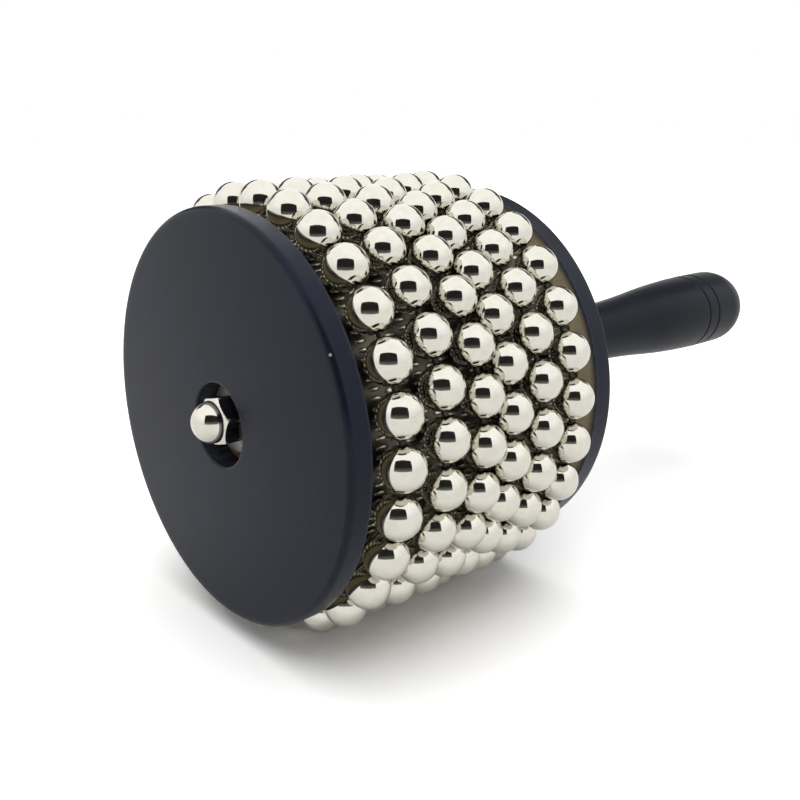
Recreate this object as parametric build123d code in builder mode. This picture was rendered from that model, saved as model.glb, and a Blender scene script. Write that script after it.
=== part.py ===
from build123d import *
import os
from math import asin, cos, pi, radians, sin, sqrt

# A cabasa lying on its chain loops: a wooden drum with a ribbed steel skin between two discs,
# six loops of ball chain that turn on the drum, and a turned handle behind.
# The drum's axis runs along X, the nut end faces -X, Z is up and the table is at Z = 0.

# Driving dimensions, in millimetres and degrees

# End discs, cut from board
disc_diameter = 100.0
disc_thickness = 6.0
disc_edge_radius = 1.5
disc_inner_edge = 0.4
back_edge_radius = 0.5
nut_hole_diameter = 20.2
nut_hole_edge = 0.6
nut_hole_drop = 1.2

# Drum: a wooden core inside a ribbed steel skin whose ends meet in a seam
drum_diameter = 89.5
skin_thickness = 0.6
skin_clearance = 0.05
rib_height = 0.4
rib_radius = 0.6
rib_pitch = 2.0
seam_gap = 0.8

# Ball chain: hollow balls joined by links with a head inside each ball
ball_diameter = 10.5
ball_wall = 0.6
ball_gap = 0.7
drum_clearance = 0.3
link_diameter = 1.2
link_hole_clearance = 0.3
link_head_diameter = 3.4
link_head_thickness = 0.7
link_head_clearance = 0.2

# Places of the loops: clear gaps along the drum, from the front disc to the back one,
# with the fourth loop nested into the third
front_gap = 2.25
gap_1_to_2 = 2.1
gap_2_to_3 = 1.0
nest_clearance = 0.1
gap_4_to_5 = 0.4
gap_5_to_6 = 0.9
back_gap = 4.4

# How far each loop is turned from having a ball right at its bottom
loop_1_turn = 1.1
loop_2_turn = -2.9
loop_3_turn = 1.6
loop_5_turn = 2.0
loop_6_turn = -3.7

# Rod, washer and dome nut
rod_diameter = 5.9
rod_clearance = 0.25
rod_end_chamfer = 0.6
rod_grip = 35.0
thread_clearance = 0.05
washer_clearance = 0.3
washer_thickness = 1.6
nut_across_flats = 11.0
nut_turn = 14.0
nut_hex_height = 5.9
nut_neck_height = 0.2
nut_dome_diameter = 9.8
nut_bore_depth = 8.0
nut_edge_chamfer = 0.4

# Handle, from the back disc: a collar, a straight neck, a swell with two grooves, a round end
handle_length = 140.0
collar_diameter = 25.0
collar_length = 4.0
neck_diameter = 18.2
neck_start = 16.0
neck_length = 29.0
swell_diameter = 26.2
swell_length = 8.0
round_end_length = 14.0
groove_from_end = 24.7
groove_spacing = 5.8
groove_radius = 0.75

# Worked out from the dimensions above

ball_radius = ball_diameter / 2
drum_radius = drum_diameter / 2
skin_radius = drum_radius - rib_height
core_radius = skin_radius - skin_thickness - skin_clearance
loop_radius = drum_radius + drum_clearance + ball_radius
ball_count = int(pi / asin((ball_diameter + ball_gap) / (2 * loop_radius)))
step = 360.0 / ball_count
half_step = radians(step / 2)
half_pitch = 2 * loop_radius * sin(half_step / 2)
nest_spacing = sqrt((ball_diameter + nest_clearance) ** 2 - half_pitch**2)
loop_4_turn = loop_3_turn - step / 2

loop_turns = (loop_1_turn, loop_2_turn, loop_3_turn, loop_4_turn, loop_5_turn, loop_6_turn)
spacings = (
    ball_diameter + gap_1_to_2,
    ball_diameter + gap_2_to_3,
    nest_spacing,
    ball_diameter + gap_4_to_5,
    ball_diameter + gap_5_to_6,
)
loop_places = [front_gap + ball_radius]
for spacing in spacings:
    loop_places.append(loop_places[-1] + spacing)
drum_length = loop_places[-1] + ball_radius + back_gap

nut_height = nut_hex_height + nut_neck_height + nut_dome_diameter / 2
nut_stand_out = nut_height + washer_thickness - disc_thickness
total_length = nut_stand_out + disc_thickness + drum_length + disc_thickness + handle_length
front_face_x = nut_stand_out - total_length / 2
drum_start_x = front_face_x + disc_thickness
drum_end_x = drum_start_x + drum_length
back_face_x = drum_end_x + disc_thickness
nut_seat_x = drum_start_x - washer_thickness
rod_start_x = nut_seat_x - nut_bore_depth

lowest_offset = min(abs((turn + step / 2) % step - step / 2) for turn in loop_turns)
axis_height = loop_radius * cos(radians(lowest_offset)) + ball_radius
rod_hole_radius = rod_diameter / 2 + rod_clearance
washer_radius = nut_hole_diameter / 2 - nut_hole_drop - washer_clearance
thread_radius = rod_diameter / 2 + thread_clearance
drum_axis = Axis((0, 0, axis_height), (1, 0, 0))


def cross_plane(x):
    # A plane square to the drum's axis, facing the handle
    return Plane(origin=(x, 0, axis_height), x_dir=(0, 1, 0), z_dir=(1, 0, 0))


def front_plane(x):
    # The same, facing the nut end
    return Plane(origin=(x, 0, axis_height), x_dir=(0, -1, 0), z_dir=(-1, 0, 0))


def loop_plane(x, angle, radius):
    # A place on a loop, with local Z along the chain and local X pointing out of the drum
    outward = Vector(0, sin(angle), -cos(angle))
    along = Vector(0, cos(angle), sin(angle))
    return Plane(origin=Vector(x, 0, axis_height) + outward * radius, x_dir=outward, z_dir=along)


os.makedirs("parts", exist_ok=True)


# Front disc, with the wide hole that the nut sits in, a little above its middle
with BuildPart() as front_disc:
    with BuildSketch(cross_plane(front_face_x)):
        Circle(disc_diameter / 2)
        with Locations((0, -nut_hole_drop)):
            Circle(nut_hole_diameter / 2, mode=Mode.SUBTRACT)
    extrude(amount=disc_thickness)
    outer_face = front_disc.faces().sort_by(Axis.X)[0]
    inner_face = front_disc.faces().sort_by(Axis.X)[-1]
    fillet(outer_face.outer_wire().edges(), radius=disc_edge_radius)
    fillet(outer_face.inner_wires()[0].edges(), radius=nut_hole_edge)
    chamfer(inner_face.outer_wire().edges(), length=disc_inner_edge)
front_disc.part.label = "front_disc"
export_step(front_disc.part, "parts/front_disc.step")


# Back disc, drilled for the rod
with BuildPart() as back_disc:
    with BuildSketch(cross_plane(drum_end_x)):
        Circle(disc_diameter / 2)
        Circle(rod_hole_radius, mode=Mode.SUBTRACT)
    extrude(amount=disc_thickness)
    outer_face = back_disc.faces().sort_by(Axis.X)[-1]
    inner_face = back_disc.faces().sort_by(Axis.X)[0]
    fillet(outer_face.outer_wire().edges(), radius=back_edge_radius)
    chamfer(inner_face.outer_wire().edges(), length=disc_inner_edge)
back_disc.part.label = "back_disc"
export_step(back_disc.part, "parts/back_disc.step")


# Wooden core of the drum
with BuildPart() as drum_core:
    with BuildSketch(cross_plane(drum_start_x)):
        Circle(core_radius)
        Circle(rod_hole_radius, mode=Mode.SUBTRACT)
    extrude(amount=drum_length)
drum_core.part.label = "drum_core"
export_step(drum_core.part, "parts/drum_core.step")


# Ribbed steel skin wrapped round the core, its ends meeting in a seam on the far side
with BuildPart() as drum_skin:
    rib_count = round(2 * pi * drum_radius / rib_pitch)
    with BuildSketch(cross_plane(drum_start_x)):
        Circle(skin_radius)
        with PolarLocations(drum_radius - rib_radius, rib_count):
            Circle(rib_radius)
        Circle(core_radius + skin_clearance, mode=Mode.SUBTRACT)
        with Locations((drum_radius, 0)):
            Rectangle(2 * drum_radius - 2 * core_radius, seam_gap, mode=Mode.SUBTRACT)
    extrude(amount=drum_length)
drum_skin.part.label = "drum_skin"
export_step(drum_skin.part, "parts/drum_skin.step")


# One hollow ball, with a hole towards each neighbour
with BuildPart() as ball:
    Sphere(ball_radius)
    Sphere(ball_radius - ball_wall, mode=Mode.SUBTRACT)
    for side in (1, -1):
        towards = Vector(-sin(half_step), 0, side * cos(half_step))
        with BuildSketch(Plane(origin=(0, 0, 0), x_dir=(0, 1, 0), z_dir=towards)):
            Circle(link_diameter / 2 + link_hole_clearance)
        extrude(amount=ball_diameter, mode=Mode.SUBTRACT)

# One link, from inside one ball to inside the next
ball_centres_apart = 2 * loop_radius * sin(half_step)
head_radius = link_head_diameter / 2
head_reach = sqrt((ball_radius - ball_wall) ** 2 - head_radius**2) - link_head_clearance
heads_apart = ball_centres_apart - 2 * head_reach
with BuildPart() as link:
    Cylinder(link_diameter / 2, heads_apart + 2 * link_head_thickness)
    head_middle = heads_apart / 2 + link_head_thickness / 2
    with Locations((0, 0, head_middle), (0, 0, -head_middle)):
        Cylinder(head_radius, link_head_thickness)


# Chain loops: the balls and the links of each loop
for number, (place, turn) in enumerate(zip(loop_places, loop_turns), start=1):
    loop_x = drum_start_x + place
    ball_angles = [radians(turn + step * k) for k in range(ball_count)]
    with BuildPart() as loop_balls:
        with Locations(*[loop_plane(loop_x, a, loop_radius) for a in ball_angles]):
            add(ball.part)
    loop_balls.part.label = f"chain_{number}_balls"
    export_step(loop_balls.part, f"parts/chain_{number}_balls.step")

    link_angles = [a + half_step for a in ball_angles]
    link_circle = loop_radius * cos(half_step)
    with BuildPart() as loop_links:
        with Locations(*[loop_plane(loop_x, a, link_circle) for a in link_angles]):
            add(link.part)
    loop_links.part.label = f"chain_{number}_links"
    export_step(loop_links.part, f"parts/chain_{number}_links.step")


# Rod from the nut, through the drum, into the handle
with BuildPart() as tie_rod:
    with BuildSketch(cross_plane(rod_start_x)):
        Circle(rod_diameter / 2)
    extrude(amount=back_face_x + rod_grip - rod_start_x)
    chamfer(tie_rod.edges().filter_by(GeomType.CIRCLE), length=rod_end_chamfer)
tie_rod.part.label = "tie_rod"
export_step(tie_rod.part, "parts/tie_rod.step")


# Washer under the nut, clear of the hole's wall
with BuildPart() as washer:
    with BuildSketch(front_plane(drum_start_x)):
        Circle(washer_radius)
        Circle(rod_hole_radius, mode=Mode.SUBTRACT)
    extrude(amount=washer_thickness)
washer.part.label = "washer"
export_step(washer.part, "parts/washer.step")


# Dome nut: a hexagon with chamfered corners, a short neck and a half-round cap
with BuildPart() as dome_nut:
    with BuildSketch(front_plane(nut_seat_x)):
        RegularPolygon(nut_across_flats / 2, 6, major_radius=False, rotation=nut_turn)
    extrude(amount=nut_hex_height)
    corner_radius = nut_across_flats / sqrt(3)
    with BuildSketch(Plane.XZ.shift_origin((nut_seat_x, 0, axis_height))):
        with BuildLine():
            Polyline(
                (0, 0),
                (0, nut_across_flats / 2),
                (-nut_edge_chamfer, corner_radius),
                (-nut_hex_height + nut_edge_chamfer, corner_radius),
                (-nut_hex_height, nut_across_flats / 2),
                (-nut_hex_height, 0),
                close=True,
            )
        make_face()
    revolve(axis=drum_axis, mode=Mode.INTERSECT)
    dome_radius = nut_dome_diameter / 2
    with BuildSketch(Plane.XZ.shift_origin((nut_seat_x, 0, axis_height))):
        with BuildLine():
            neck_end = dome_radius - nut_height
            Polyline((neck_end - dome_radius, 0), (-nut_hex_height, 0), (-nut_hex_height, dome_radius))
            Line((-nut_hex_height, dome_radius), (neck_end, dome_radius))
            RadiusArc((neck_end, dome_radius), (neck_end - dome_radius, 0), -dome_radius)
        make_face()
    revolve(axis=drum_axis)
    with BuildSketch(front_plane(nut_seat_x)):
        Circle(thread_radius)
    extrude(amount=nut_bore_depth, mode=Mode.SUBTRACT)
dome_nut.part.label = "dome_nut"
export_step(dome_nut.part, "parts/dome_nut.step")


# Turned handle
with BuildPart() as handle:
    neck_radius = neck_diameter / 2
    swell_radius = swell_diameter / 2
    neck_end = neck_start + neck_length
    swell_end = handle_length - round_end_length
    swell_start = swell_end - swell_length
    last_groove = handle_length - groove_from_end
    half_way = ((neck_end + swell_start) / 2, (neck_radius + swell_radius) / 2)
    with BuildSketch(Plane.XZ.shift_origin((back_face_x, 0, axis_height))):
        with BuildLine():
            Line((0, 0), (0, collar_diameter / 2))
            Line((0, collar_diameter / 2), (collar_length, collar_diameter / 2))
            TangentArc((neck_start, neck_radius), (collar_length, collar_diameter / 2), tangent=(-1, 0))
            Line((neck_start, neck_radius), (neck_end, neck_radius))
            rise = TangentArc((neck_end, neck_radius), half_way, tangent=(1, 0))
            TangentArc(half_way, (swell_start, swell_radius), tangent=rise % 1)
            Line((swell_start, swell_radius), (swell_end, swell_radius))
            EllipticalCenterArc(
                (swell_end, 0),
                round_end_length,
                swell_radius,
                start_angle=0,
                arc_size=90,
            )
            Line((handle_length, 0), (0, 0))
        make_face()
        with Locations((last_groove - groove_spacing, swell_radius), (last_groove, swell_radius)):
            Circle(groove_radius, mode=Mode.SUBTRACT)
    revolve(axis=drum_axis)
    with BuildSketch(cross_plane(back_face_x)):
        Circle(thread_radius)
    extrude(amount=rod_grip, mode=Mode.SUBTRACT)
handle.part.label = "handle"
export_step(handle.part, "parts/handle.step")

print(f"drum length {drum_length:.2f} mm, {ball_count} balls a loop, whole length {total_length:.2f} mm")
print(f"axis height {axis_height:.3f} mm, front face at x {front_face_x:.3f} mm")
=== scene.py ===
import bmesh
import bpy
import math
from mathutils import Matrix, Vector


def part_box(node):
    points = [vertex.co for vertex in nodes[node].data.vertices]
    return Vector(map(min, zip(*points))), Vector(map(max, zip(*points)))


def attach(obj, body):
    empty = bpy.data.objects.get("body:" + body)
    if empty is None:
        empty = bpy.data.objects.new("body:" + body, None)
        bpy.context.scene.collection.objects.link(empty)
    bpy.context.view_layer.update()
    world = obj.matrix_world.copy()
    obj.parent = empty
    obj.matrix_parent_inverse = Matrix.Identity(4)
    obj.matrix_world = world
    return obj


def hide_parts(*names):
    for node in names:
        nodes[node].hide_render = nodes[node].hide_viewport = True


# Looks of a cabasa: turned black discs and handle, an embossed steel drum and loops of nickel ball chain
mm = 0.001
weld = 0.002 * mm
sharpTurn = math.radians(38)

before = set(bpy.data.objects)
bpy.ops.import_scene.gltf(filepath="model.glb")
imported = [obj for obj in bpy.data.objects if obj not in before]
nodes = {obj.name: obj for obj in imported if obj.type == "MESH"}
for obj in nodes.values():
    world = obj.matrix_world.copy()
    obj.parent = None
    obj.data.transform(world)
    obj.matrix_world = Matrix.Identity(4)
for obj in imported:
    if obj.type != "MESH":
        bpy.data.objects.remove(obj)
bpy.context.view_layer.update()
frontLow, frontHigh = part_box("front_disc")
backLow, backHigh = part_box("back_disc")
axisHeight = (frontLow.z + frontHigh.z) / 2
print("frame loaded:", len(nodes), "CAD nodes, axis at", round(axisHeight / mm, 2), "mm")


def linear(hexCode):
    channels = [int(hexCode[k:k + 2], 16) / 255 for k in (1, 3, 5)]
    return (*[c / 12.92 if c <= 0.04045 else ((c + 0.055) / 1.055) ** 2.4 for c in channels], 1.0)


def addNode(tree, kind, inputs=None, stops=None, **settings):
    ownFamily = kind.startswith(("Geometry", "Function", "NodeGroup"))
    node = tree.nodes.new(kind if ownFamily else "ShaderNode" + kind)
    for name, value in settings.items():
        setattr(node, name, value)
    if stops:
        for element, (position, tone) in zip(node.color_ramp.elements, stops):
            element.position = position
            element.color = linear(tone)
    for socket, value in (inputs or {}).items():
        if isinstance(value, bpy.types.NodeSocket):
            tree.links.new(value, node.inputs[socket])
        else:
            node.inputs[socket].default_value = value
    return node


def newMaterial(name):
    material = bpy.data.materials.new(name)
    material.use_nodes = True
    tree = material.node_tree
    tree.nodes.clear()
    place = addNode(tree, "TexCoord").outputs["Object"]
    shader = addNode(tree, "BsdfPrincipled")
    addNode(tree, "OutputMaterial", {"Surface": shader.outputs["BSDF"]})
    return material, tree, place, shader


def perMetre(sizeInMm):
    return 1 / (sizeInMm * mm)  # a noise scale whose features are about this size


def perMetreWave(sizeInMm):
    return perMetre(sizeInMm) / 20  # 20 radians a unit at scale 1, so a wave repeats every six sizes or so


def lookBlackBoard():
    # Satin black lacquer sprayed on fibreboard: blue-black, faint orange peel, greyer along rubbed edges
    sizes = {"mottle": 22, "peel": 0.9, "rub": 2.5, "chip": 0.4, "chipCore": 0.24, "chipTurn": -119,
             "chipReach": 49.56, "chipDeep": 0.44}
    material, tree, place, shader = newMaterial("satin black lacquered board")
    mottle = addNode(tree, "TexNoise", {"Vector": place, "Scale": perMetre(sizes["mottle"]), "Detail": 3})
    base = addNode(tree, "ValToRGB", {"Fac": mottle.outputs["Fac"]},
                   stops=((0.3, "#060d1c"), (0.7, "#091226")))
    wear = addNode(tree, "Attribute", attribute_name="edgeWear")
    rub = addNode(tree, "TexNoise", {"Vector": place, "Scale": perMetre(sizes["rub"]), "Detail": 4})
    patchy = addNode(tree, "Math", {0: wear.outputs["Fac"], 1: rub.outputs["Fac"]}, operation="MULTIPLY")
    worn = addNode(tree, "Mix", {0: patchy.outputs[0], 6: base.outputs["Color"], 7: linear("#4a4b50")},
                   data_type="RGBA")
    # one pale chip on the front disc's round edge
    turn = math.radians(sizes["chipTurn"])
    chipPlace = (frontLow.x + sizes["chipDeep"] * mm, sizes["chipReach"] * mm * math.sin(turn),
                 axisHeight - sizes["chipReach"] * mm * math.cos(turn))
    apart = addNode(tree, "VectorMath", {0: place, 1: chipPlace}, operation="DISTANCE")
    chip = addNode(tree, "MapRange", {"Value": apart.outputs["Value"], "From Min": sizes["chip"] * mm,
                                      "From Max": sizes["chipCore"] * mm})
    chipped = addNode(tree, "Mix", {0: chip.outputs["Result"], 6: worn.outputs[2], 7: linear("#a39a86")},
                      data_type="RGBA")
    tree.links.new(chipped.outputs[2], shader.inputs["Base Color"])
    rough = addNode(tree, "MapRange", {"Value": mottle.outputs["Fac"], "To Min": 0.24, "To Max": 0.3})
    tree.links.new(rough.outputs["Result"], shader.inputs["Roughness"])
    peel = addNode(tree, "TexNoise", {"Vector": place, "Scale": perMetre(sizes["peel"]), "Detail": 2})
    bump = addNode(tree, "Bump", {"Height": peel.outputs["Fac"], "Strength": 0.12, "Distance": 0.05 * mm})
    tree.links.new(bump.outputs["Normal"], shader.inputs["Normal"])
    shader.inputs["Specular IOR Level"].default_value = 0.15  # flatted satin, little gloss left
    return material


def lookBareBoard():
    # Bare fibreboard on the hidden faces: matt brown, short pressed fibres, black overspray at the rim
    sizes = {"fibre": 0.5, "cloud": 9}
    material, tree, place, shader = newMaterial("bare brown fibreboard")
    cloud = addNode(tree, "TexNoise", {"Vector": place, "Scale": perMetre(sizes["cloud"]), "Detail": 3})
    fibre = addNode(tree, "TexNoise", {"Vector": place, "Scale": perMetre(sizes["fibre"]), "Detail": 5})
    mixed = addNode(tree, "Math", {0: cloud.outputs["Fac"], 1: fibre.outputs["Fac"]}, operation="MULTIPLY")
    base = addNode(tree, "ValToRGB", {"Fac": mixed.outputs[0]},
                   stops=((0.12, "#cdbd98"), (0.4, "#e4d7b4")))
    spray = addNode(tree, "Attribute", attribute_name="edgeWear")
    sprayed = addNode(tree, "Mix", {0: spray.outputs["Fac"], 6: base.outputs["Color"], 7: linear("#2a2724")},
                      data_type="RGBA")
    tree.links.new(sprayed.outputs[2], shader.inputs["Base Color"])
    bump = addNode(tree, "Bump", {"Height": fibre.outputs["Fac"], "Strength": 0.4, "Distance": 0.1 * mm})
    tree.links.new(bump.outputs["Normal"], shader.inputs["Normal"])
    shader.inputs["Roughness"].default_value = 0.8
    shader.inputs["Specular IOR Level"].default_value = 0.25
    return material


def lookHandle():
    # Turned beech under black satin lacquer: long grain just readable, fine turning rings, closed pores
    sizes = {"grainLong": 30, "grainFine": 0.8, "ring": 0.7}
    material, tree, place, shader = newMaterial("black lacquered turned beech")
    stretch = addNode(tree, "Mapping", {"Vector": place})
    stretch.inputs["Scale"].default_value = (sizes["grainFine"] / sizes["grainLong"], 1, 1)
    grain = addNode(tree, "TexNoise", {"Vector": stretch.outputs["Vector"],
                                       "Scale": perMetre(sizes["grainFine"]), "Detail": 4})
    base = addNode(tree, "ValToRGB", {"Fac": grain.outputs["Fac"]},
                   stops=((0.35, "#090d15"), (0.7, "#0f1522")))
    tree.links.new(base.outputs["Color"], shader.inputs["Base Color"])
    ring = addNode(tree, "TexWave", {"Vector": place, "Scale": perMetreWave(sizes["ring"]),
                                     "Distortion": 0.6}, bands_direction="X")
    relief = addNode(tree, "Mix", {0: 0.7, 2: ring.outputs["Fac"], 3: grain.outputs["Fac"]})
    bump = addNode(tree, "Bump", {"Height": relief.outputs[0], "Strength": 0.1, "Distance": 0.06 * mm})
    tree.links.new(bump.outputs["Normal"], shader.inputs["Normal"])
    rough = addNode(tree, "MapRange", {"Value": grain.outputs["Fac"], "To Min": 0.3, "To Max": 0.45})
    tree.links.new(rough.outputs["Result"], shader.inputs["Roughness"])
    shader.inputs["Specular IOR Level"].default_value = 0.13
    return material


def lookNickel():
    # Bright nickel plate on pressed steel: warm white mirror, slightly uneven from the tumbling
    sizes = {"haze": 2.2, "dent": 3.5}
    material, tree, place, shader = newMaterial("polished nickel plate")
    haze = addNode(tree, "TexNoise", {"Vector": place, "Scale": perMetre(sizes["haze"]), "Detail": 3})
    base = addNode(tree, "ValToRGB", {"Fac": haze.outputs["Fac"]},
                   stops=((0.3, "#d0cdc2"), (0.7, "#d9d6cc")))
    tree.links.new(base.outputs["Color"], shader.inputs["Base Color"])
    rough = addNode(tree, "MapRange", {"Value": haze.outputs["Fac"], "To Min": 0.05, "To Max": 0.11})
    tree.links.new(rough.outputs["Result"], shader.inputs["Roughness"])
    dent = addNode(tree, "TexNoise", {"Vector": place, "Scale": perMetre(sizes["dent"]), "Detail": 1})
    bump = addNode(tree, "Bump", {"Height": dent.outputs["Fac"], "Strength": 0.1, "Distance": 0.1 * mm})
    tree.links.new(bump.outputs["Normal"], shader.inputs["Normal"])
    shader.inputs["Metallic"].default_value = 1.0
    return material


def lookSkin():
    # Embossed steel sheet: painted highlight on the crowns, painted shade (dark, brownish) in the hollows,
    # patchy with grime
    sizes = {"crown": 44.75, "hollow": 44.35, "grime": 1.4}
    material, tree, place, shader = newMaterial("embossed steel sheet")
    split = addNode(tree, "SeparateXYZ", {"Vector": place})
    level = addNode(tree, "Math", {0: split.outputs["Z"], 1: axisHeight}, operation="SUBTRACT")
    across = addNode(tree, "CombineXYZ", {"Y": split.outputs["Y"], "Z": level.outputs[0]})
    reach = addNode(tree, "VectorMath", {0: across.outputs["Vector"]}, operation="LENGTH")
    crown = addNode(tree, "MapRange", {"Value": reach.outputs["Value"], "From Min": sizes["hollow"] * mm,
                                       "From Max": sizes["crown"] * mm})
    grime = addNode(tree, "TexNoise", {"Vector": place, "Scale": perMetre(sizes["grime"]), "Detail": 4})
    crownLightMask = addNode(tree, "Math", {0: crown.outputs["Result"], 1: grime.outputs["Fac"]}, operation="MULTIPLY")
    # crowns ramp to bright and hollows to dark brown: a painted highlight on the crowns and painted shade in
    # the hollows
    base = addNode(tree, "ValToRGB", {"Fac": crownLightMask.outputs[0]},
                   stops=((0.05, "#625e54"), (0.5, "#dcd8cb")))
    tree.links.new(base.outputs["Color"], shader.inputs["Base Color"])
    rough = addNode(tree, "MapRange", {"Value": crownLightMask.outputs[0], "To Min": 0.42, "To Max": 0.2})
    tree.links.new(rough.outputs["Result"], shader.inputs["Roughness"])
    shader.inputs["Metallic"].default_value = 1.0
    return material


def lookZinc():
    # Zinc plate of the rod and washer: cool grey, finely crystalline, half dull
    sizes = {"crystal": 0.8}
    material, tree, place, shader = newMaterial("zinc-plated steel")
    crystal = addNode(tree, "TexVoronoi", {"Vector": place, "Scale": perMetre(sizes["crystal"])})
    base = addNode(tree, "Mix", {0: crystal.outputs["Distance"], 6: linear("#96958f"), 7: linear("#6e6d69")},
                   data_type="RGBA")
    tree.links.new(base.outputs[2], shader.inputs["Base Color"])
    rough = addNode(tree, "MapRange", {"Value": crystal.outputs["Distance"], "To Min": 0.3, "To Max": 0.45})
    tree.links.new(rough.outputs["Result"], shader.inputs["Roughness"])
    shader.inputs["Metallic"].default_value = 1.0
    return material


def lookLink():
    # Plain drawn wire of the links: dark, oily grey, dull from handling
    sizes = {"stain": 0.7}
    material, tree, place, shader = newMaterial("dull drawn steel wire")
    stain = addNode(tree, "TexNoise", {"Vector": place, "Scale": perMetre(sizes["stain"]), "Detail": 3})
    base = addNode(tree, "ValToRGB", {"Fac": stain.outputs["Fac"]},
                   stops=((0.3, "#35332e"), (0.7, "#57544c")))
    tree.links.new(base.outputs["Color"], shader.inputs["Base Color"])
    rough = addNode(tree, "MapRange", {"Value": stain.outputs["Fac"], "To Min": 0.4, "To Max": 0.55})
    tree.links.new(rough.outputs["Result"], shader.inputs["Roughness"])
    shader.inputs["Metallic"].default_value = 1.0
    return material


def lookCore():
    # Plain turned softwood of the drum's core, seen end-on in the nut hole: growth rings about the heart
    sizes = {"ring": 2.4, "fibre": 0.6, "heartAside": 12}
    material, tree, place, shader = newMaterial("turned pine core")
    centre = addNode(tree, "Mapping", {"Vector": place})
    centre.inputs["Location"].default_value = (0, -sizes["heartAside"] * mm, -axisHeight)
    ring = addNode(tree, "TexWave", {"Vector": centre.outputs["Vector"], "Scale": perMetreWave(sizes["ring"]),
                                     "Distortion": 3, "Detail": 2}, wave_type="RINGS", rings_direction="X")
    fibre = addNode(tree, "TexNoise", {"Vector": place, "Scale": perMetre(sizes["fibre"]), "Detail": 4})
    tone = addNode(tree, "Math", {0: ring.outputs["Fac"], 1: fibre.outputs["Fac"]}, operation="MULTIPLY")
    base = addNode(tree, "ValToRGB", {"Fac": tone.outputs[0]}, stops=((0, "#5e4a31"), (1, "#8c7450")))
    tree.links.new(base.outputs["Color"], shader.inputs["Base Color"])
    shader.inputs["Roughness"].default_value = 0.75
    return material


blackBoard = lookBlackBoard()
bareBoard = lookBareBoard()
handleWood = lookHandle()
nickel = lookNickel()
skinSteel = lookSkin()
zinc = lookZinc()
linkSteel = lookLink()
coreWood = lookCore()
print("materials made:", len(bpy.data.materials))


def arcOf(along, out, radius, start, end, steps):
    # points on an arc round a centre, angles in degrees from the axis' way towards outwards
    turns = [math.radians(start + (end - start) * k / steps) for k in range(steps + 1)]
    return [(along + radius * math.cos(t), out + radius * math.sin(t)) for t in turns]


def lathe(name, outline, segments, finishes, place, section=None):
    # turns an outline of (along, out, finish, wear) points in mm about X; section trims the round
    mesh = bpy.data.meshes.new(name)
    work = bmesh.new()
    wearLayer = work.verts.layers.float.new("edgeWear")
    rings = []
    for along, out, finish, wear in outline:
        ring = []
        for k in range(segments):
            turn = 2 * math.pi * k / segments
            reach = section(out, turn) if section else out
            vert = work.verts.new((along * mm, reach * mm * math.sin(turn), -reach * mm * math.cos(turn)))
            vert[wearLayer] = wear
            ring.append(vert)
        rings.append(ring)
    for (along, out, finish, wear), ring, nextRing in zip(outline, rings, rings[1:]):
        for k in range(segments):
            after = (k + 1) % segments
            face = work.faces.new((ring[k], ring[after], nextRing[after], nextRing[k]))
            face.material_index = finish
            face.smooth = True
    bmesh.ops.remove_doubles(work, verts=work.verts, dist=weld)
    bmesh.ops.recalc_face_normals(work, faces=work.faces)
    work.to_mesh(mesh)
    work.free()
    mesh.set_sharp_from_angle(angle=sharpTurn)
    for finish in finishes:
        mesh.materials.append(finish)
    mesh.transform(place)
    piece = bpy.data.objects.new(name, mesh)
    bpy.context.scene.collection.objects.link(piece)
    return piece


def settle(piece, body, node):
    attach(piece, body)
    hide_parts(node)


def makeDisc(name, node, outerFace, inwards, disc):
    board = {"innerEdge": 0.4, "wallEnd": 0.05, "faceRun": 0.6, "sideRun": 1, "rubRun": 0.6, "sprayThins": 2,
             "sprayEnds": 5, "segments": 192}
    worn = {"wall": 0.95, "round": 0.15, "side": 0.1, "arris": 0.7}
    spray = {"rim": 0.9, "thin": 0.35}
    low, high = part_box(node)
    thick = (high.x - low.x) / mm
    radius = (high.z - low.z) / 2 / mm
    corner, hole, edge = disc["round"], disc["hole"], disc["holeEdge"]
    lacquer, bare = 0, 1
    # a point's last number is the wear of the lacquer or the black spray on the bare board
    outline = [(thick, hole, lacquer, worn["wall"]), (edge + board["wallEnd"], hole, lacquer, worn["wall"])]
    outline += [(*p, lacquer, worn["round"]) for p in arcOf(edge, hole + edge, edge, 270, 180, 5)]
    outline += [(0, hole + edge + board["faceRun"], lacquer, 0), (0, radius - 2 * corner, lacquer, 0)]
    outline += [(*p, lacquer, worn["round"]) for p in arcOf(corner, radius - corner, corner, 180, 90, 8)]
    outline += [(corner + board["sideRun"], radius, lacquer, worn["side"])]
    innerEdge = thick - board["innerEdge"]
    outline += [(innerEdge - board["rubRun"], radius, lacquer, worn["side"])]
    outline += [(innerEdge, radius, lacquer, worn["arris"])]
    outline += [(thick, radius - board["innerEdge"], bare, spray["rim"])]
    outline += [(thick, radius - board["sprayThins"], bare, spray["thin"])]
    outline += [(thick, radius - board["sprayEnds"], bare, 0), (thick, hole, bare, 0)]
    if inwards < 0:
        outline = [(-along, out, finish, wear) for along, out, finish, wear in outline]
    place = Matrix.Translation((outerFace, 0, axisHeight))
    piece = lathe(name, outline, board["segments"], [blackBoard, bareBoard], place)
    holeZone = hole + edge + 1.5 * board["faceRun"]
    for vert in piece.data.vertices:
        if math.hypot(vert.co.y, vert.co.z - axisHeight) < holeZone * mm:
            vert.co.z -= disc["holeDrop"] * mm  # the hole was bored below the middle
    settle(piece, "drum", node)


frontSizes = {"round": 1.5, "hole": 10.1, "holeEdge": 0.6, "holeDrop": 1.2}
backSizes = {"round": 0.5, "hole": 3.2, "holeEdge": 0.2, "holeDrop": 0}
makeDisc("frontDisc", "front_disc", frontLow.x, 1, frontSizes)
makeDisc("backDisc", "back_disc", backHigh.x, -1, backSizes)
print("discs turned")


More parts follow.
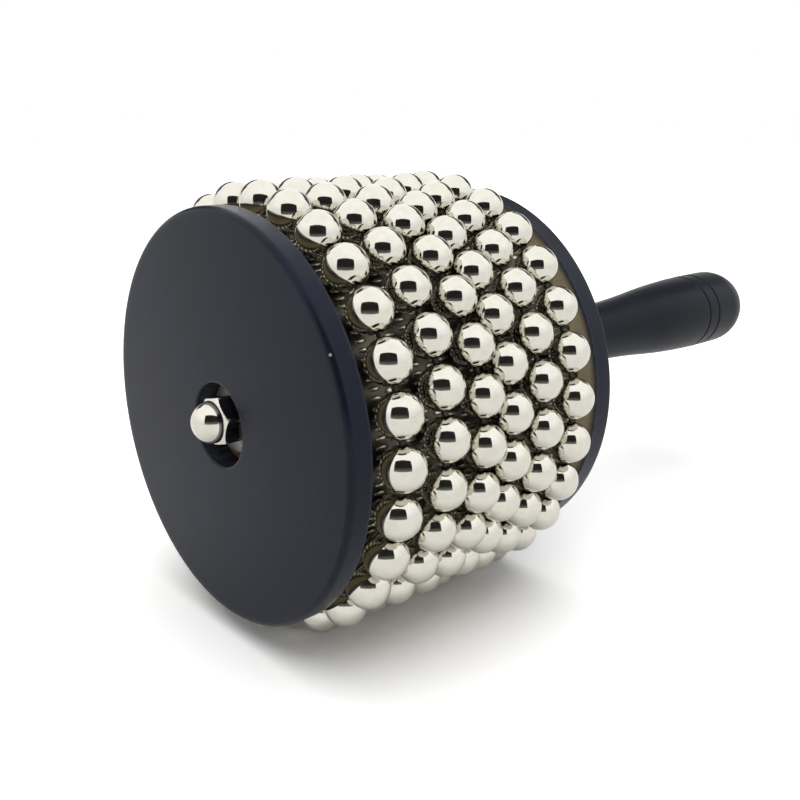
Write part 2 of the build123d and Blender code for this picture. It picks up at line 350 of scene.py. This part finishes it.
def makeHandle():
    handle = {"collar": 12.5, "collarLength": 4.0, "collarEdge": 0.5, "neck": 9.1, "neckStart": 16.0,
              "neckEnd": 45.0, "swell": 13.1, "swellLength": 8.0, "roundEnd": 14.0, "grooves": (109.5, 115.3),
              "grooveRadius": 0.9, "grooveDepth": 0.28, "bore": 3.0, "boreDepth": 35.0, "step": 0.75,
              "grooveSteps": 6, "endSteps": 24, "segments": 128}
    low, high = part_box("handle")
    length = (high.x - low.x) / mm
    swellEnd = length - handle["roundEnd"]
    swellStart = swellEnd - handle["swellLength"]
    halfRun = (swellStart - handle["neckEnd"]) / 2
    halfRise = (handle["swell"] - handle["neck"]) / 2
    bend = (halfRun ** 2 + halfRise ** 2) / (2 * halfRise)  # radius of the two arcs of the long rise
    coveRun = handle["neckStart"] - handle["collarLength"]
    coveRise = handle["collar"] - handle["neck"]
    cove = (coveRun ** 2 + coveRise ** 2) / (2 * coveRise)

    def reachAt(along):
        if along < handle["neckStart"]:
            reach = handle["neck"] + cove - math.sqrt(cove ** 2 - (handle["neckStart"] - along) ** 2)
        elif along < handle["neckEnd"]:
            reach = handle["neck"]
        elif along < handle["neckEnd"] + halfRun:
            reach = handle["neck"] + bend - math.sqrt(bend ** 2 - (along - handle["neckEnd"]) ** 2)
        elif along < swellStart:
            reach = handle["swell"] - bend + math.sqrt(bend ** 2 - (swellStart - along) ** 2)
        elif along < swellEnd:
            reach = handle["swell"]
        else:
            share = min(1, (along - swellEnd) / handle["roundEnd"])
            reach = handle["swell"] * math.sqrt(1 - share ** 2)
        for groove in handle["grooves"]:
            aside = abs(along - groove)
            if aside < handle["grooveRadius"]:
                reach -= handle["grooveDepth"] * (1 + math.cos(math.pi * aside / handle["grooveRadius"])) / 2
        return reach

    steps = int((swellEnd - handle["collarLength"]) / handle["step"]) + 1
    stations = [handle["collarLength"] + handle["step"] * k for k in range(steps)]
    half = handle["grooveSteps"]
    for groove in handle["grooves"]:
        stations = [s for s in stations if abs(s - groove) > handle["grooveRadius"]]
        stations += [groove + handle["grooveRadius"] * k / half for k in range(-half, half + 1)]
    turns = [math.pi / 2 * k / handle["endSteps"] for k in range(handle["endSteps"] + 1)]
    stations += [length - handle["roundEnd"] * (1 - math.sin(turn)) for turn in turns]
    edge = handle["collarEdge"]
    outline = [(handle["boreDepth"], 0), (handle["boreDepth"], handle["bore"]), (0, handle["bore"])]
    outline += arcOf(edge, handle["collar"] - edge, edge, 180, 90, 4)
    outline += [(along, reachAt(along)) for along in sorted(set(stations))]
    outline = [(along, out, 0, 0) for along, out in outline]
    place = Matrix.Translation((low.x, 0, axisHeight))
    piece = lathe("turnedHandle", outline, handle["segments"], [handleWood], place)
    settle(piece, "drum", "handle")


makeHandle()
print("handle turned")


def makeNut():
    nut = {"flat": 5.5, "seat": 5.4, "hexHeight": 5.9, "chamfer": 0.4, "bevel": 0.7, "bevelStart": 5.2,
           "dome": 5.1, "bore": 3.0, "boreDepth": 8.0, "flatTurn": 46, "segments": 180}
    low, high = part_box("dome_nut")
    height = (high.x - low.x) / mm
    corner = nut["flat"] / math.cos(math.radians(30))
    neckEnd = height - nut["dome"]

    def hexSection(out, turn):
        fromFlat = (turn - math.radians(nut["flatTurn"] - 30)) % math.radians(60) - math.radians(30)
        return min(out, nut["flat"] / math.cos(fromFlat))

    outline = [(nut["boreDepth"], 0), (nut["boreDepth"], nut["bore"]), (0, nut["bore"]), (0, nut["seat"])]
    outline += [(nut["chamfer"] * k / 3, nut["flat"] + (corner - nut["flat"]) * k / 3) for k in range(4)]
    top = nut["hexHeight"]
    across = corner - nut["bevelStart"]
    outline += [(top - nut["bevel"] * k / 6, nut["bevelStart"] + across * k / 6) for k in range(6, -1, -1)]
    outline += arcOf(neckEnd, 0, nut["dome"], 90, 0, 28)
    outline = [(-along, out, 0, 0) for along, out in outline]
    place = Matrix.Translation((high.x, 0, axisHeight))
    piece = lathe("domeNut", outline, nut["segments"], [nickel], place, hexSection)
    settle(piece, "drum", "dome_nut")


makeNut()
print("nut made")


def evaluated(holder, name):
    # the modifier's result as a plain mesh object
    graph = bpy.context.evaluated_depsgraph_get()
    mesh = bpy.data.meshes.new_from_object(holder.evaluated_get(graph))
    mesh.name = name
    piece = bpy.data.objects.new(name, mesh)
    bpy.context.scene.collection.objects.link(piece)
    bpy.data.objects.remove(holder)
    return piece


def setInputs(modifier, tree, values):
    for item in tree.interface.items_tree:
        if item.in_out == "INPUT" and item.name in values:
            modifier[item.identifier] = values[item.name]


def newTree(name, sockets):
    tree = bpy.data.node_groups.new(name, "GeometryNodeTree")
    for socket, kind in sockets:
        tree.interface.new_socket(socket, in_out="INPUT", socket_type="NodeSocket" + kind)
    tree.interface.new_socket("Geometry", in_out="OUTPUT", socket_type="NodeSocketGeometry")
    given = addNode(tree, "NodeGroupInput").outputs
    index = addNode(tree, "GeometryNodeInputIndex").outputs["Index"]
    return tree, given, index


def copiesRound(tree, given, count, angle, along):
    # copies of one object about the drum's axis, angles counted from the bottom towards +Y
    sine = addNode(tree, "Math", {0: angle}, operation="SINE")
    cosine = addNode(tree, "Math", {0: angle}, operation="COSINE")
    aside = addNode(tree, "Math", {0: sine.outputs[0], 1: given["Radius"]}, operation="MULTIPLY")
    below = addNode(tree, "Math", {0: cosine.outputs[0], 1: given["Radius"]}, operation="MULTIPLY")
    height = addNode(tree, "Math", {0: given["Axis Height"], 1: below.outputs[0]}, operation="SUBTRACT")
    spot = addNode(tree, "CombineXYZ", {"X": along, "Y": aside.outputs[0], "Z": height.outputs[0]})
    points = addNode(tree, "GeometryNodePoints", {"Count": count, "Position": spot.outputs["Vector"]})
    euler = addNode(tree, "CombineXYZ", {"X": angle})
    facing = addNode(tree, "FunctionNodeEulerToRotation", {"Euler": euler.outputs["Vector"]})
    shape = addNode(tree, "GeometryNodeObjectInfo", {"Object": given["Piece"]})
    copies = addNode(tree, "GeometryNodeInstanceOnPoints", {"Points": points.outputs[0],
                                                            "Instance": shape.outputs["Geometry"],
                                                            "Rotation": facing.outputs["Rotation"]})
    return copies.outputs["Instances"]


def finishTree(tree, given, geometry):
    real = addNode(tree, "GeometryNodeRealizeInstances", {"Geometry": geometry})
    finished = addNode(tree, "GeometryNodeSetMaterial", {"Geometry": real.outputs["Geometry"],
                                                         "Material": given["Finish"]})
    addNode(tree, "NodeGroupOutput", {"Geometry": finished.outputs["Geometry"]})


def ringTree():
    # one ring of like pieces
    tree, given, index = newTree("ringOfPieces", (
        ("Piece", "Object"), ("Count", "Int"), ("Radius", "Float"), ("Turn", "Float"), ("Place", "Float"),
        ("Axis Height", "Float"), ("Finish", "Material")))
    step = addNode(tree, "Math", {0: 2 * math.pi, 1: given["Count"]}, operation="DIVIDE")
    angle = addNode(tree, "Math", {0: index, 1: step.outputs[0], 2: given["Turn"]}, operation="MULTIPLY_ADD")
    finishTree(tree, given, copiesRound(tree, given, given["Count"], angle.outputs[0], given["Place"]))
    return tree


def makeChains():
    chain = {"ball": 5.25, "hole": 0.95, "lip": 0.35, "lipMid": 0.95, "lipEnd": 0.86, "count": 28,
             "loopRadius": 50.3, "ballSegments": 32, "link": 0.6, "linkFlare": 0.85, "linkHalf": 2.0,
             "flareEdge": 0.3, "flareEnd": 0.9, "tip": 0.8, "linkSegments": 14,
             "turns": (1.1, -2.9, 1.6, 1.6 - 360 / 28 / 2, 2.0, -3.7)}
    tree = ringTree()
    acrossChain = Matrix.Rotation(math.radians(90), 4, "Z")  # a ball's holes face its neighbours
    opening = math.degrees(math.asin(chain["hole"] / chain["ball"]))
    holeEnd = chain["ball"] * math.cos(math.radians(opening))
    lip = [(holeEnd - chain["lip"], chain["hole"] * chain["lipEnd"])]
    lip += [(holeEnd - chain["lip"] / 2, chain["hole"] * chain["lipMid"])]
    shell = lip + arcOf(0, 0, chain["ball"], opening, 180 - opening, 24)
    shell += [(-along, out) for along, out in reversed(lip)]
    shell = [(along, out, 0, 0) for along, out in shell]
    ball = lathe("ballShape", shell, chain["ballSegments"], [nickel], acrossChain)
    half, flare = chain["linkHalf"], chain["linkFlare"]
    tip = [(half - chain["flareEnd"], chain["link"]), (half - chain["flareEdge"], flare)]
    tip += [(half, flare * chain["tip"]), (half, 0)]
    rod = [(-along, out) for along, out in reversed(tip)] + tip
    rod = [(along, out, 0, 0) for along, out in rod]
    link = lathe("linkShape", rod, chain["linkSegments"], [linkSteel], acrossChain)
    halfStep = math.pi / chain["count"]
    for number, turn in enumerate(chain["turns"], start=1):
        low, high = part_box(f"chain_{number}_balls")
        for kind, shape, radius, ahead, finish, slot in (
            ("balls", ball, chain["loopRadius"], 0, nickel, "nickel"),
            ("links", link, chain["loopRadius"] * math.cos(halfStep), halfStep, linkSteel, "plated_steel"),
        ):
            name = f"chain{number}{kind.capitalize()}"
            holder = bpy.data.objects.new(name + "Nodes", bpy.data.meshes.new(name + "Nodes"))
            bpy.context.scene.collection.objects.link(holder)
            modifier = holder.modifiers.new("ring", "NODES")
            modifier.node_group = tree
            setInputs(modifier, tree, {"Piece": shape, "Count": chain["count"], "Radius": radius * mm,
                                       "Turn": math.radians(turn) + ahead, "Place": (low.x + high.x) / 2,
                                       "Axis Height": axisHeight, "Finish": finish})
            settle(evaluated(holder, name), f"chain_{number}", f"chain_{number}_{kind}")
    bpy.data.objects.remove(ball)
    bpy.data.objects.remove(link)


makeChains()
print("chain loops made")


def embossTree():
    # rows of raised bumps on a sheet rolled round the drum's axis, every second row half a step round
    tree, given, index = newTree("embossedRows", (
        ("Geometry", "Geometry"), ("Piece", "Object"), ("Around", "Int"), ("Rows", "Int"),
        ("Radius", "Float"), ("First Row", "Float"), ("Row Pitch", "Float"), ("First Angle", "Float"),
        ("Angle Step", "Float"), ("Axis Height", "Float"), ("Finish", "Material")))
    total = addNode(tree, "Math", {0: given["Around"], 1: given["Rows"]}, operation="MULTIPLY")
    share = addNode(tree, "Math", {0: index, 1: given["Around"]}, operation="DIVIDE")
    row = addNode(tree, "Math", {0: share.outputs[0]}, operation="FLOOR").outputs[0]
    column = addNode(tree, "Math", {0: index, 1: given["Around"]}, operation="MODULO")
    odd = addNode(tree, "Math", {0: row, 1: 2.0}, operation="MODULO")
    stagger = addNode(tree, "Math", {0: odd.outputs[0], 1: 0.5, 2: column.outputs[0]},
                      operation="MULTIPLY_ADD")
    angle = addNode(tree, "Math", {0: stagger.outputs[0], 1: given["Angle Step"], 2: given["First Angle"]},
                    operation="MULTIPLY_ADD")
    along = addNode(tree, "Math", {0: row, 1: given["Row Pitch"], 2: given["First Row"]},
                    operation="MULTIPLY_ADD")
    bumps = copiesRound(tree, given, total.outputs[0], angle.outputs[0], along.outputs[0])
    whole = addNode(tree, "GeometryNodeJoinGeometry", {"Geometry": bumps})
    tree.links.new(given["Geometry"], whole.inputs["Geometry"])
    finishTree(tree, given, whole.outputs["Geometry"])
    return tree


def makeSkin():
    skin = {"sheet": 44.35, "inside": 43.75, "seamGap": 0.8, "seamAngle": 90.0, "segments": 240,
            "bumpLong": 3.6, "bumpWide": 1.35, "bumpHigh": 0.4, "bumpCorners": 8, "shoulder": (0.82, 0.45),
            "crown": (0.45, 0.88), "sunk": 0.12, "pitchAlong": 4.2, "pitchAround": 2.1}
    low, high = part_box("drum_skin")
    seam = math.radians(skin["seamAngle"])
    gap = skin["seamGap"] / skin["sheet"] / 2
    work = bmesh.new()
    loops = []
    outer, inner = skin["sheet"], skin["inside"]
    sheetCorners = [(low.x, outer), (high.x, outer), (high.x, inner), (low.x, inner)]
    for k in range(skin["segments"] + 1):
        turn = seam + gap + (2 * math.pi - 2 * gap) * k / skin["segments"]
        loop = []
        for along, out in sheetCorners:
            aside = out * mm * math.sin(turn)
            loop.append(work.verts.new((along, aside, axisHeight - out * mm * math.cos(turn))))
        loops.append(loop)
    for loop, nextLoop in zip(loops, loops[1:]):
        for k in range(len(sheetCorners)):
            work.faces.new((loop[k], loop[k - 1], nextLoop[k - 1], nextLoop[k])).smooth = True
    work.faces.new(loops[0])
    work.faces.new(loops[-1])
    bmesh.ops.recalc_face_normals(work, faces=work.faces)
    sheet = bpy.data.meshes.new("skinSheet")
    work.to_mesh(sheet)
    work.free()
    sheet.set_sharp_from_angle(angle=sharpTurn)

    # one bump: its foot a little below the sheet, a shoulder and a crown
    rings = [(1.0, -skin["sunk"])]
    rings += [(share, part * skin["bumpHigh"]) for share, part in (skin["shoulder"], skin["crown"])]
    work = bmesh.new()
    corners = skin["bumpCorners"]
    made = []
    for share, up in rings:
        ring = []
        for k in range(corners):
            turn = 2 * math.pi * (k + 0.5) / corners
            ring.append(work.verts.new((skin["bumpLong"] / 2 * share * math.cos(turn) * mm,
                                        skin["bumpWide"] / 2 * share * math.sin(turn) * mm, -up * mm)))
        made.append(ring)
    top = work.verts.new((0, 0, -skin["bumpHigh"] * mm))
    for ring, nextRing in zip(made, made[1:]):
        for k in range(corners):
            work.faces.new((ring[k], ring[k - 1], nextRing[k - 1], nextRing[k])).smooth = True
    for k in range(corners):
        work.faces.new((made[-1][k], made[-1][k - 1], top)).smooth = True
    bumpMesh = bpy.data.meshes.new("bumpShape")
    work.to_mesh(bumpMesh)
    work.free()
    bump = bpy.data.objects.new("bumpShape", bumpMesh)
    bpy.context.scene.collection.objects.link(bump)

    margin = gap + skin["bumpWide"] / skin["sheet"]
    around = round((2 * math.pi - 2 * margin) * skin["sheet"] / skin["pitchAround"])
    rows = int(((high.x - low.x) / mm - skin["bumpLong"]) / skin["pitchAlong"]) + 1
    firstRow = (low.x + high.x) / 2 - (rows - 1) / 2 * skin["pitchAlong"] * mm
    holder = bpy.data.objects.new("skinNodes", sheet)
    bpy.context.scene.collection.objects.link(holder)
    tree = embossTree()
    modifier = holder.modifiers.new("emboss", "NODES")
    modifier.node_group = tree
    angleStep = (2 * math.pi - 2 * margin) / around
    setInputs(modifier, tree, {"Piece": bump, "Around": around, "Rows": rows, "Radius": skin["sheet"] * mm,
                               "First Row": firstRow, "Row Pitch": skin["pitchAlong"] * mm,
                               "First Angle": seam + margin, "Angle Step": angleStep,
                               "Axis Height": axisHeight, "Finish": skinSteel})
    piece = evaluated(holder, "embossedSkin")
    bpy.data.objects.remove(bump)
    settle(piece, "drum", "drum_skin")
    print("skin embossed:", rows * around, "bumps")


makeSkin()

for node, finish in (("drum_core", coreWood), ("tie_rod", zinc), ("washer", zinc)):
    nodes[node].data.materials.clear()
    nodes[node].data.materials.append(finish)
print("CAD nodes finished")


def makeStage():
    stage = {"floorHalf": 4.0, "floorTone": "#fbfaf8", "floorLift": 0.42, "floorMirrored": 0.05,
             "cardWide": 0.36, "cardHigh": 0.23, "cardRaise": 0.055, "cardBehind": 0.01, "cardFade": 0.35,
             "cardFoot": "#8d8c84",
             "cards": ((0, 1, "#1a1a1c"), (145, 2, "#64635e"), (215, 2, "#64635e")),
             "sunStrength": 2.1, "sunAngle": 70, "sunTilt": 6, "sunFrom": -35, "worldStrength": 0.4,
             "skyLow": 1.04, "skyHigh": 1.35, "skyTop": 0.55}
    half = stage["floorHalf"]
    floorMesh = bpy.data.meshes.new("floor")
    floorMesh.from_pydata([(-half, -half, 0), (half, -half, 0), (half, half, 0), (-half, half, 0)], [],
                          [(0, 1, 2, 3)])
    floor = bpy.data.objects.new("floor", floorMesh)
    bpy.context.scene.collection.objects.link(floor)
    paper, tree, place, shader = newMaterial("matt white paper")
    shader.inputs["Base Color"].default_value = linear(stage["floorTone"])
    shader.inputs["Roughness"].default_value = 0.9
    shader.inputs["Specular IOR Level"].default_value = 0.1
    ray = addNode(tree, "LightPath").outputs
    # the floor reads as a white background to the eye; the object gets only what plain paper throws back
    mirrored = addNode(tree, "Math", {0: ray["Is Glossy Ray"], 1: ray["Is Transmission Ray"]},
                       operation="MAXIMUM")
    share = addNode(tree, "Math", {0: mirrored.outputs[0], 1: stage["floorMirrored"]}, operation="MULTIPLY")
    lift = addNode(tree, "Math", {0: ray["Is Camera Ray"], 1: stage["floorLift"], 2: share.outputs[0]},
                   operation="MULTIPLY_ADD")
    extra = addNode(tree, "BsdfDiffuse", {"Color": lift.outputs[0]})
    lifted = addNode(tree, "AddShader", {0: shader.outputs[0], 1: extra.outputs[0]})
    tree.links.new(lifted.outputs[0], tree.nodes["Material Output"].inputs["Surface"])
    floorMesh.materials.append(paper)

    view = {"fromFace": (-109.06, -186.8, 69.06), "heading": 48.77, "pitch": -14.45, "lens": 42.57,
            "shift": (0.0095, -0.048)}
    lens = bpy.data.cameras.new("camera")
    lens.lens = view["lens"]
    lens.sensor_width = 36.0
    lens.shift_x, lens.shift_y = view["shift"]
    lens.clip_start = 0.01
    camera = bpy.data.objects.new("camera", lens)
    ahead, aside, above = [v * mm for v in view["fromFace"]]
    camera.location = (frontLow.x + ahead, aside, axisHeight + above)
    camera.rotation_euler = (math.radians(90 + view["pitch"]), 0, math.radians(view["heading"] - 90))
    bpy.context.scene.collection.objects.link(camera)
    bpy.context.scene.camera = camera

    # cards behind the camera and, paler, round the table, seen only by the polished metal
    bpy.context.view_layer.update()
    middle = Matrix.Translation(((frontLow.x + backHigh.x) / 2, 0, axisHeight))
    behindCamera = camera.matrix_world @ Matrix.Translation((0, stage["cardRaise"], stage["cardBehind"]))
    wide, high = stage["cardWide"] / 2, stage["cardHigh"] / 2
    for turn, away, tone in stage["cards"]:
        cardMesh = bpy.data.meshes.new(f"card{turn}")
        cardMesh.from_pydata([(-wide, -high, 0), (wide, -high, 0), (wide, high, 0), (-wide, high, 0)], [],
                             [(0, 1, 2, 3)])
        card = bpy.data.objects.new(f"card{turn}", cardMesh)
        bpy.context.scene.collection.objects.link(card)
        stand = middle.inverted() @ behindCamera
        stand.translation *= away
        card.matrix_world = middle @ Matrix.Rotation(math.radians(turn), 4, "Z") @ stand
        felt, tree, place, shader = newMaterial(f"felt card {turn}")
        level = addNode(tree, "SeparateXYZ", {"Vector": place})
        fade = addNode(tree, "MapRange", {"Value": level.outputs["Y"], "From Min": -high,
                                          "From Max": -stage["cardFade"] * high})
        faded = addNode(tree, "Mix", {0: fade.outputs["Result"], 6: linear(stage["cardFoot"]),
                                      7: linear(tone)}, data_type="RGBA")
        tree.links.new(faded.outputs[2], shader.inputs["Base Color"])
        shader.inputs["Roughness"].default_value = 1.0
        cardMesh.materials.append(felt)
        card.visible_camera = False
        card.visible_diffuse = False
        card.visible_shadow = False

    lamp = bpy.data.lights.new("softbox", "SUN")
    lamp.energy = stage["sunStrength"]
    lamp.angle = math.radians(stage["sunAngle"])
    sun = bpy.data.objects.new("softbox", lamp)
    sun.rotation_euler = (math.radians(stage["sunTilt"]), 0, math.radians(stage["sunFrom"]))
    sun.visible_glossy = False  # the metal shows the white room instead of a lamp's round spot
    bpy.context.scene.collection.objects.link(sun)

    world = bpy.data.worlds.new("white studio")
    bpy.context.scene.world = world
    world.use_nodes = True
    tree = world.node_tree
    tree.nodes.clear()
    ray = addNode(tree, "LightPath").outputs
    skyward = addNode(tree, "TexCoord").outputs["Object"]
    level = addNode(tree, "SeparateXYZ", {"Vector": skyward})
    rise = addNode(tree, "MapRange", {"Value": level.outputs["Z"], "From Max": stage["skyTop"],
                                      "To Min": stage["skyLow"], "To Max": stage["skyHigh"]})
    glow = addNode(tree, "Background", {"Color": linear("#ffffff"), "Strength": rise.outputs["Result"]})
    light = addNode(tree, "Background", {"Color": linear("#fcfdff"), "Strength": stage["worldStrength"]})
    plain = addNode(tree, "Background", {"Color": linear("#ffffff"), "Strength": 1.0})
    mirrored = addNode(tree, "Math", {0: ray["Is Glossy Ray"], 1: ray["Is Transmission Ray"]},
                       operation="MAXIMUM")
    lit = addNode(tree, "MixShader", {0: mirrored.outputs[0], 1: light.outputs[0], 2: glow.outputs[0]})
    seen = addNode(tree, "MixShader", {0: ray["Is Camera Ray"], 1: lit.outputs[0], 2: plain.outputs[0]})
    addNode(tree, "OutputWorld", {"Surface": seen.outputs[0]})
    bpy.context.scene.view_settings.view_transform = "Standard"


makeStage()
print("stage set")
